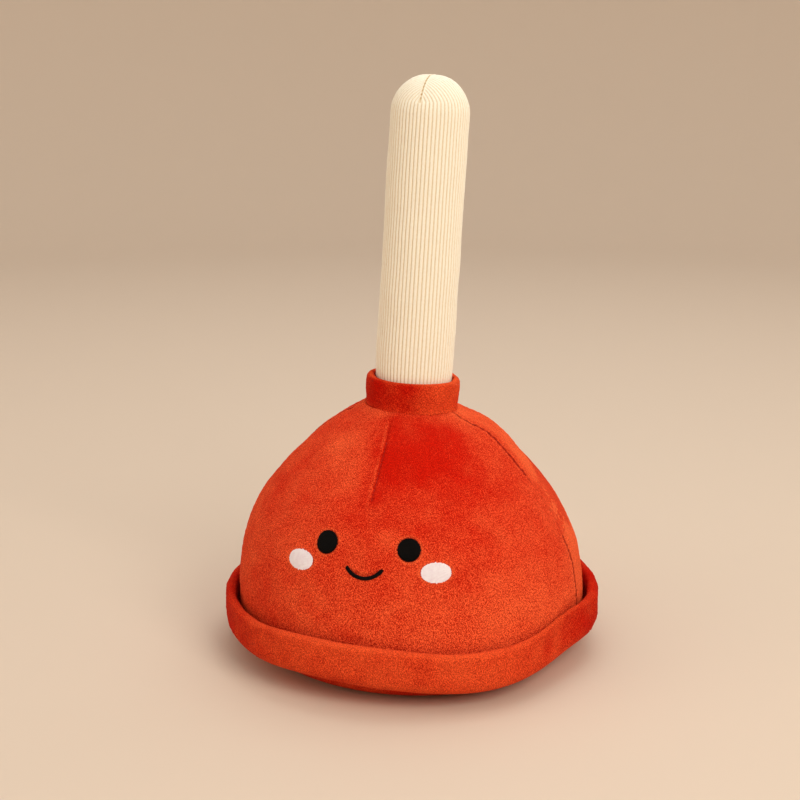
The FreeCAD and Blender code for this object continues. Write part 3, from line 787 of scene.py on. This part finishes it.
def makeHandle():
    length = handleLength()
    start = length - handle["radius"]
    tube = [(handle["radius"], z) for z in np.linspace(-handle["tuck"], start, int(start / handle["row"]))]
    cap = evenly(turn((0, start), handle["radius"], 0, 90, 120), handle["tipRow"])[1:]
    thin = handle["radius"] - handle["cloth"] - 0.3
    lining = [(0, start + thin)] + turn((0, start), thin, 75, 0, 5) + [(thin, -handle["tuck"])]
    cap[-1] = (0, length)
    steps = handle["wales"] * handle["perWale"]
    mesh = toMesh(spinOutline(tube + cap + lining, steps, closed=False), "handleSleeve")
    closeFoot(mesh, -handle["tuck"])
    points = coords(mesh)
    r = radiusOf(points)
    skin = np.hypot(r, np.clip(points[:, 2] - start, 0, None)) > handle["radius"] - 0.2
    lift, wale = handleRelief(points, start)
    rise = np.arcsin(np.clip((points[:, 2] - start) / handle["radius"], 0, 1))
    angle = angleOf(points)
    normal = np.stack([np.sin(angle) * np.cos(rise), -np.cos(angle) * np.cos(rise), np.sin(rise)], axis=1)
    lift *= skin
    # slightly narrower towards the top
    taper = (handle["wider"] - handle["narrower"] * points[:, 2] / length) * skin
    moved = points + normal * (lift + taper)[:, None]
    setCoords(mesh, moved)
    mesh.transform(leanMatrix())
    paint(mesh, "wale", np.where(skin, wale, 0.5))
    piece = makePiece("handleSleeve", mesh, handleCorduroy, ["handle_sleeve"])
    print("handle made")


def closeFoot(mesh, foot):
    # bridges the outer and inner edges at the bottom of the sleeve
    bm = bmesh.new()
    bm.from_mesh(mesh)
    rim = [e for e in bm.edges if e.is_boundary and abs(e.verts[0].co.z - foot) < 0.01]
    bmesh.ops.bridge_loops(bm, edges=rim)
    bmesh.ops.recalc_face_normals(bm, faces=bm.faces)
    bm.to_mesh(mesh)
    bm.free()


makeHandle()


collar = {
    "inner": 20.4, "height": 15.9, "ply": 1.6, "gap": 0.3, "foot": 0.05, "step": 0.55, "turns": 304,
    "footRoll": 0.45, "bulge": 0.35, "lumps": 0.25, "flare": 0.35, "wave": 0.35, "proud": 1.3, "valley": 0.8,
    "nap": 0.02, "fleck": 0.35,
}


def makeCollar():
    outer = collar["inner"] + 2 * collar["ply"] + collar["gap"]
    middle = (collar["inner"] + outer) / 2
    half = (outer - collar["inner"]) / 2
    top = collar["height"] - half
    foot = collar["foot"]
    section = [(outer, foot)] + turn((middle, top), half, 0, 180, 14) + [(collar["inner"], foot)]
    slit = collar["gap"] / 2
    section = evenly(section, collar["step"])
    section += [(middle - slit, foot), (middle - slit, top), (middle + slit, top), (middle + slit, foot)]
    mesh = toMesh(spinOutline(section, collar["turns"]), "collarBand")
    points = coords(mesh)
    z = points[:, 2]
    angle = angleOf(points)
    r = radiusOf(points)
    outerPly = smoothStep((r - middle) / 0.8)
    out = collar["footRoll"] * bump(z, 1.6) * outerPly + collar["bulge"] * bump(z - 8.5, 4.5) * outerPly
    out += collar["lumps"] * waves(points, 16, 51) * outerPly + 0.08 * waves(points, 2.4, 52, 20) * outerPly
    # the fold has a soft valley along it and waves a little
    crease = bump(r - middle, 0.45) * smoothStep((z - top) / 1.0)
    free = smoothStep((z - 6) / 8)
    out += collar["flare"] * free * (1 + waves(points * (1, 1, 0), 30, 53))
    moved = points.copy()
    pushOut(moved, angle, out)
    # the inner ply stands a little proud of the outer one at the ends of the fold
    ends = bump(np.degrees(angle) + 70, 14) + bump(np.degrees(angle) - 102, 16)
    wave = collar["wave"] * waves(points * (1, 1, 0), 34, 54)
    moved[:, 2] += free * (wave + collar["proud"] * ends * (1 - outerPly)) - collar["valley"] * crease
    setCoords(mesh, moved)
    mesh.transform(leanMatrix())
    # lighter along the top of the fold: a painted highlight
    nap = collar["nap"] + 0.08 * waves(points, 16, 55) + 0.4 * crease
    nap += 0.35 * bump(z - collar["height"], 0.9)
    # a lighter band down the right side: a painted sheen
    nap += 0.6 * smoothStep(np.cos(angle - math.radians(92)) * 1.2)
    nap += 0.2 * bump(z - collar["foot"], 2.0)
    paint(mesh, "nap", nap)
    paint(mesh, "fleck", np.full(len(points), collar["fleck"]))
    piece = makePiece("collarBand", mesh, brimVelour, ["collar_band"])
    print("collar made")


makeCollar()


# the spacing of the stitches, and how thick the thread is in each seam
stitch = {
    "pitch": 2.5, "side": 0.4, "dart": 0.35, "hem": 0.6, "neck": 0.5, "collar": 0.4,
    "closing": 0.5, "tip": 0.38,
}


def sewStitches(name, lengths):
    # blunt-ended lengths of thread, each given as start, end, width and height:
    # one is made, copied and placed
    bm = bmesh.new()
    bmesh.ops.create_uvsphere(bm, u_segments=8, v_segments=8, radius=1.0)
    for v in bm.verts:
        c = v.co.z
        widen = math.sqrt((1 - c**6) / (1 - c * c)) if abs(c) < 0.999 else 1.0
        v.co = Vector((v.co.x * widen, v.co.y * widen, c))
    one = toMesh(bm, name)
    holder = bpy.data.objects.new(name, one)
    bpy.context.scene.collection.objects.link(holder)
    row = holder.modifiers.new("row", "ARRAY")
    row.count = len(lengths)
    row.relative_offset_displace = (1.0, 0.0, 0.0)
    ready = holder.evaluated_get(bpy.context.evaluated_depsgraph_get())
    mesh = bpy.data.meshes.new_from_object(ready)
    shape = coords(one)
    placed = []
    for start, end, width, height in lengths:
        line = end - start
        up = Vector((0, 0, 1)) if abs(line.normalized().z) < 0.9 else Vector((1, 0, 0))
        side = line.cross(up).normalized()
        axes = np.array([side * width / 2, side.cross(line).normalized() * height / 2, line / 2])
        placed.append(shape @ axes + np.array((start + end) / 2))
    setCoords(mesh, np.concatenate(placed))
    bpy.data.objects.remove(holder)
    bpy.data.meshes.remove(one)
    return mesh


def stitchRow(name, path, width, nodes, spacing=stitch["pitch"], material=redThread):
    # a row of lock stitches along a path of points
    path = [Vector(p) for p in path]
    lengths = np.concatenate([[0], np.cumsum([(b - a).length for a, b in zip(path, path[1:])])])
    table = np.array([tuple(p) for p in path])

    def at(distance):
        return Vector([float(np.interp(distance, lengths, table[:, i])) for i in range(3)])

    sewn = [(at((k + 0.12) * spacing), at((k + 0.9) * spacing), width, width)
            for k in range(max(1, int(lengths[-1] / spacing)))]
    return makePiece(name, sewStitches(name, sewn), material, nodes)


def movedOnBell(angle, z, lift):
    # a point on the bell's finished cloth
    rough = np.array([onBell(angle, z)])
    rough = bellSurface(rough)[0]
    out, up = bellNormal(z)
    return Vector(rough[0]) + Vector((math.sin(angle) * out, -math.cos(angle) * out, up)) * lift


def makeBellThreads():
    heights = np.linspace(18, 126, 60)
    for name, side in (("leftSideStitches", -1), ("rightSideStitches", 1)):
        path = []
        for z in heights:
            angle = side * math.acos(min(1.0, -bell["seamPlane"] / float(bellRadius(z))))
            path.append(movedOnBell(angle, z, 0.1))
        node = "left_side_thread" if side < 0 else "right_side_thread"
        stitchRow(name, path, stitch["side"], [node])
    heights = np.linspace(bell["dartEnd"] + 4, 121, 30)
    stitchRow("frontDartStitches", [movedOnBell(float(frontDartAngle(z)), z, 0.05) for z in heights],
              stitch["dart"], ["front_dart_thread"])
    stitchRow("backDartStitches", [movedOnBell(math.pi, z, 0.05) for z in heights],
              stitch["dart"], ["back_dart_thread"])
    turns = np.linspace(0, 2 * math.pi, 200)
    hemRadius = bell["radius"] - bell["seamInset"] - bell["hem"] / 2
    hemAt = boxOf("base_seam_thread")[0].z + 0.3
    ring = [(math.cos(a), math.sin(a)) for a in turns]
    stitchRow("baseSeamStitches", [(hemRadius * c, hemRadius * s, hemAt) for c, s in ring],
              stitch["hem"], ["base_seam_thread"])
    lean = leanMatrix()
    neckRadius = bell["neckRadius"] - 0.9
    stitchRow("neckSeamStitches", [lean @ Vector((neckRadius * c, neckRadius * s, 0.05)) for c, s in ring],
              stitch["neck"], ["neck_seam_thread"])
    stitchRow("collarBackStitches", [lean @ Vector((0.0, 22.9, z)) for z in np.linspace(2, 13, 8)],
              stitch["collar"], ["collar_back_thread"])
    radius = bell["radius"] - bell["seamInset"] + 0.35
    sewn = []
    for k in range(20):
        a = math.radians(100) + k * 3.0 / radius
        low = Vector((radius * math.sin(a), -radius * math.cos(a), 8.6))
        slant = Vector((math.cos(a), math.sin(a), 0)) * 0.9
        sewn.append((low, low + slant + Vector((0, 0, 2.0)), stitch["closing"], stitch["closing"]))
    mesh = sewStitches("closingStitches", sewn)
    makePiece("closingStitches", mesh, redThread, ["closing_stitches"])


def makeHandleThreads():
    length = handleLength()
    start = length - handle["radius"]
    lean = leanMatrix()

    def onHandle(angle, rise, z=None):
        # on the sleeve's finished cloth, in the seam's groove
        level = math.cos(rise)
        flat = np.array([[math.sin(angle) * level, -math.cos(angle) * level, math.sin(rise)]])
        point = flat * handle["radius"] + [[0, 0, start]]
        if z is not None:
            point[0, 2] = z
        relief, _ = handleRelief(point, start)
        return lean @ Vector(point[0] + flat[0] * (float(relief[0]) + 0.1))

    first = math.asin(1 - handle["tipDrop"] / handle["radius"])
    over = [onHandle(0.0, a) for a in np.linspace(first, math.pi / 2 - 0.02, 30)]
    over += [onHandle(math.pi, a) for a in np.linspace(math.pi / 2 - 0.02, 0.1, 34)]
    stitchRow("handleTipStitches", over, stitch["tip"], ["handle_tip_thread"],
              handle["stitch"], tanThread)
    down = [onHandle(math.pi, 0.0, z) for z in np.linspace(17, start, 70)]
    stitchRow("handleBackStitches", down, stitch["tip"], ["handle_back_thread"],
              handle["stitch"], tanThread)


makeBellThreads()
makeHandleThreads()
print("seams stitched")


face = {"pitch": 0.4, "lift": 0.15, "thick": 0.55, "crown": 0.35, "cheekRun": 3.6}
mouth = {"width": 17.6, "drop": 4.6, "stroke": 1.9, "pitch": 0.36, "slant": 0.03, "lift": 0.3}


def onSpot(spot, u, v, lift):
    # u runs across the cloth and v up it, from the middle of a face piece
    out, _ = bellNormal(spot["z"])
    z = spot["z"] + v * float(out)
    angle = spot["angle"] + u / float(bellRadius(z))
    return onBell(angle, z, lift + float(bellSwell(np.array([onBell(angle, z)]))[0]))


def fillOval(spot, upright, run, seed):
    # rows of satin stitches across an oval, raised in the middle over a padded ground
    rng = np.random.default_rng(seed)
    halfU, halfV = spot["half"]
    sewn = []
    wide, tall = (halfV, halfU) if upright else (halfU, halfV)
    rows = int(2 * tall / face["pitch"])
    for k in range(rows + 1):
        across = -tall + k * 2 * tall / rows
        reach = wide * math.sqrt(max(0.0, 1 - (across / tall) ** 2)) + rng.uniform(-0.12, 0.18)
        reach = max(reach, 0.4)
        ends = [-reach]
        if run:
            first = -reach + run * (0.35 + 0.33 * (k % 3))
            while first < reach - 0.8:
                ends.append(first)
                first += run
        ends.append(reach)
        for a, b in zip(ends, ends[1:]):
            middle = (a + b) / 2
            crown = face["crown"] * max(0.0, 1 - (middle / wide) ** 2 - (across / tall) ** 2)
            lift = face["lift"] + crown
            start, end = ((across, a), (across, b)) if upright else ((a, across), (b, across))
            placed = onSpot(spot, *start, lift), onSpot(spot, *end, lift)
            sewn.append((*placed, face["pitch"] * 1.25, face["thick"]))
    return sewn


def padSpot(spot, sewn, name):
    # the stitches over a low pad of thread that they are sewn across
    mesh = sewStitches(name, sewn)
    bm = bmesh.new()
    bm.from_mesh(mesh)
    ground = bmesh.ops.create_uvsphere(bm, u_segments=32, v_segments=16, radius=1.0)["verts"]
    halfU, halfV = spot["half"]
    for v in ground:
        lift = face["lift"] - 0.12 + v.co.z * 0.3
        v.co = onSpot(spot, v.co.x * halfU * 0.97, v.co.y * halfV * 0.97, lift)
    bm.to_mesh(mesh)
    bm.free()
    return mesh


def fillMouth(spot):
    # satin stitches laid across a shallow arc
    half, drop = mouth["width"] / 2, mouth["drop"]
    radius = (half**2 + drop**2) / (2 * drop)
    sweep = math.asin(half / radius)
    sewn = []
    count = int(2 * sweep * radius / mouth["pitch"])
    rng = np.random.default_rng(77)
    for k in range(count + 1):
        a = -sweep + k * 2 * sweep / count
        ends = math.sqrt(max(0.05, 1 - max(0.0, abs(a) - sweep + 0.045) ** 2 / 0.06**2))
        reach = mouth["stroke"] / 2 * ends + rng.uniform(-0.06, 0.1)
        points = []
        for side in (-1, 1):
            d, b = radius + side * reach, a + side * mouth["slant"]
            points.append(onSpot(spot, d * math.sin(b), radius - drop / 2 - d * math.cos(b), mouth["lift"]))
        sewn.append((points[0], points[1], 0.52, 0.6))
    return sewn


def makeFace():
    for spot in faceSpots:
        words = spot["node"].split("_")
        name = words[0] + "".join(word.capitalize() for word in words[1:])
        if name == "mouth":
            mesh = sewStitches(name, fillMouth(spot))
        elif "Eye" in name:
            mesh = padSpot(spot, fillOval(spot, True, 0, 61), name)
        else:
            mesh = padSpot(spot, fillOval(spot, False, face["cheekRun"], 62), name)
        if "Cheek" in name:
            makePiece(name, mesh, pinkThread, [spot["node"]])
        else:
            makePiece(name, mesh, blackThread, [spot["node"]])
    print("face embroidered")


makeFace()


filling = {"lumps": 0.5, "seamDip": 1.6, "clear": 1.2}


def makeFillings():
    heights = np.linspace(16.5, bell["neckAt"] - 9, 60)
    outline = [(0, 2.2), (60, 2.2), (76, 3.0), (79, 6.5), (79, 15.5)]
    outline += [(float(bellRadius(z, 3.4)) - 0.2, z) for z in heights]
    outline.append((0, heights[-1] + 1.0))
    mesh = toMesh(spinOutline(evenly(outline, 3.0), 160, closed=False), "bellFilling")
    points = coords(mesh)
    angle = angleOf(points)
    inward = filling["lumps"] * (1 + waves(points, 12, 71)) * (points[:, 2] > 16)
    inward += filling["seamDip"] * bump(points[:, 1] - bell["seamPlane"], 5)
    pushOut(points, angle, -inward)
    setCoords(mesh, points)
    makePiece("bellFilling", mesh, fibrefill, ["bell_filling"])
    length = handleLength()
    start = length - handle["radius"]
    thin = handle["radius"] - handle["cloth"] - filling["clear"]
    foot = -handle["tuck"] + 0.5
    outline = [(0, foot), (thin, foot)] + turn((0, start), thin, 0, 90, 14)
    outline[-1] = (0, start + thin)
    mesh = toMesh(spinOutline(evenly(outline, 2.5), 96, closed=False), "handleFilling")
    points = coords(mesh)
    points[:, :2] *= (1 - 0.02 * (1 + waves(points, 10, 72)))[:, None]
    setCoords(mesh, points)
    mesh.transform(leanMatrix())
    piece = makePiece("handleFilling", mesh, fibrefill, ["handle_filling"])


backing = {"width": 84.0, "height": 34.0, "at": 72.0, "inset": 1.9, "thick": 0.25}


def makeBacking():
    bm = bmesh.new()
    bmesh.ops.create_grid(bm, x_segments=42, y_segments=17, size=0.5)
    low, high = boxOf("face_backing")
    spot = {"angle": math.atan2(low.x + high.x, -2 * low.y), "z": backing["at"]}
    for v in bm.verts:
        v.co = onSpot(spot, v.co.x * backing["width"], v.co.y * backing["height"], -backing["inset"])
    bmesh.ops.solidify(bm, geom=bm.faces[:], thickness=backing["thick"])
    bmesh.ops.recalc_face_normals(bm, faces=bm.faces)
    piece = makePiece("faceBacking", toMesh(bm, "faceBacking"), webbing, ["face_backing"])


label = {"width": 16.0, "length": 13.0, "thick": 0.18, "gap": 0.22, "fold": 0.3}


def makeLabel():
    low, high = boxOf("care_label")
    bm = bmesh.new()
    # a strip folded in half over its outer end, its two ends caught in the seam
    near, far, middle = low.y, high.y, (low.z + high.z) / 2
    gap, fold = label["gap"], label["fold"]
    path = [(near, middle - gap), (far - 4, middle - gap - 0.1)]
    path += [(far - fold + fold * math.cos(a), middle - 0.05 + fold * math.sin(a))
             for a in np.linspace(-1.4, 1.4, 7)]
    path += [(far - 4, middle + gap), (near, middle + gap)]
    path = evenly(path, 0.6)
    row = [bm.verts.new((-label["width"] / 2, y, z)) for y, z in path]
    edges = [bm.edges.new(pair) for pair in zip(row, row[1:])]
    made = bmesh.ops.extrude_edge_only(bm, edges=edges)
    across = [g for g in made["geom"] if isinstance(g, bmesh.types.BMVert)]
    bmesh.ops.translate(bm, verts=across, vec=(label["width"], 0, 0))
    bmesh.ops.solidify(bm, geom=bm.faces[:], thickness=label["thick"])
    bmesh.ops.recalc_face_normals(bm, faces=bm.faces)
    piece = makePiece("careLabel", toMesh(bm, "careLabel"), labelTape, ["care_label"])


makeFillings()
makeBacking()
makeLabel()
print("fillings, backing and label made")


stage = {"floor": "#DCCBB8", "world": "#FFFCF8", "strength": 0.82}
# place in metres, size, power and colour
lamps = {
    "keyLight": ((0.95, -0.75, 0.95), 0.7, 9.5, "#FFFAF0"),
    "fillLight": ((-1.1, -0.7, 0.7), 0.9, 2.3, "#FFF0E0"),
    "topLight": ((0.1, 0.5, 1.4), 0.9, 4.5, "#FFFFFF"),
}


def makeStage():
    # a wide floor that curves up into a wall all round
    wall = [(0, 0), (1600, 0)] + turn((1600, 800), 800, -90, 0, 16)[1:] + [(2400, 2200)]
    mesh = toMesh(spinOutline(wall, 96, closed=False), "floor")
    mesh.transform(Matrix.Scale(mm, 4))
    mesh.shade_smooth()
    material, tree, shader = newMaterial("pale painted floor")
    shader.inputs["Base Color"].default_value = hexColour(stage["floor"])
    shader.inputs["Roughness"].default_value = 0.85
    mesh.materials.append(material)
    floor = bpy.data.objects.new("floor", mesh)
    bpy.context.scene.collection.objects.link(floor)
    world = bpy.data.worlds.new("studio")
    world.use_nodes = True
    setSockets(world.node_tree, world.node_tree.nodes["Background"],
               {"Color": hexColour(stage["world"]), "Strength": stage["strength"]}, {})
    bpy.context.scene.world = world
    for name, (place, size, power, code) in lamps.items():
        lamp = bpy.data.lights.new(name, "AREA")
        lamp.size = size
        lamp.energy = power
        lamp.color = hexColour(code)[:3]
        holder = bpy.data.objects.new(name, lamp)
        holder.location = place
        holder.rotation_euler = (Vector((0, 0, 0.1)) - Vector(place)).to_track_quat("-Z", "Y").to_euler()
        bpy.context.scene.collection.objects.link(holder)


view = {"turn": 18.0, "pitch": 13.57, "distance": 0.7167, "height": 0.3052, "aside": -0.0062, "lens": 63.0}


def makeCamera():
    camera = bpy.data.cameras.new("camera")
    camera.lens = view["lens"]
    camera.sensor_width = 36.0
    camera.clip_start = 0.01
    holder = bpy.data.objects.new("camera", camera)
    spot = Vector((view["aside"], -view["distance"], view["height"]))
    holder.location = Matrix.Rotation(math.radians(view["turn"]), 4, "Z") @ spot
    holder.rotation_euler = (math.radians(90 - view["pitch"]), 0, math.radians(view["turn"]))
    bpy.context.scene.collection.objects.link(holder)
    bpy.context.scene.camera = holder


makeStage()
makeCamera()
bpy.context.scene.view_settings.view_transform = "Standard"
print("stage set")
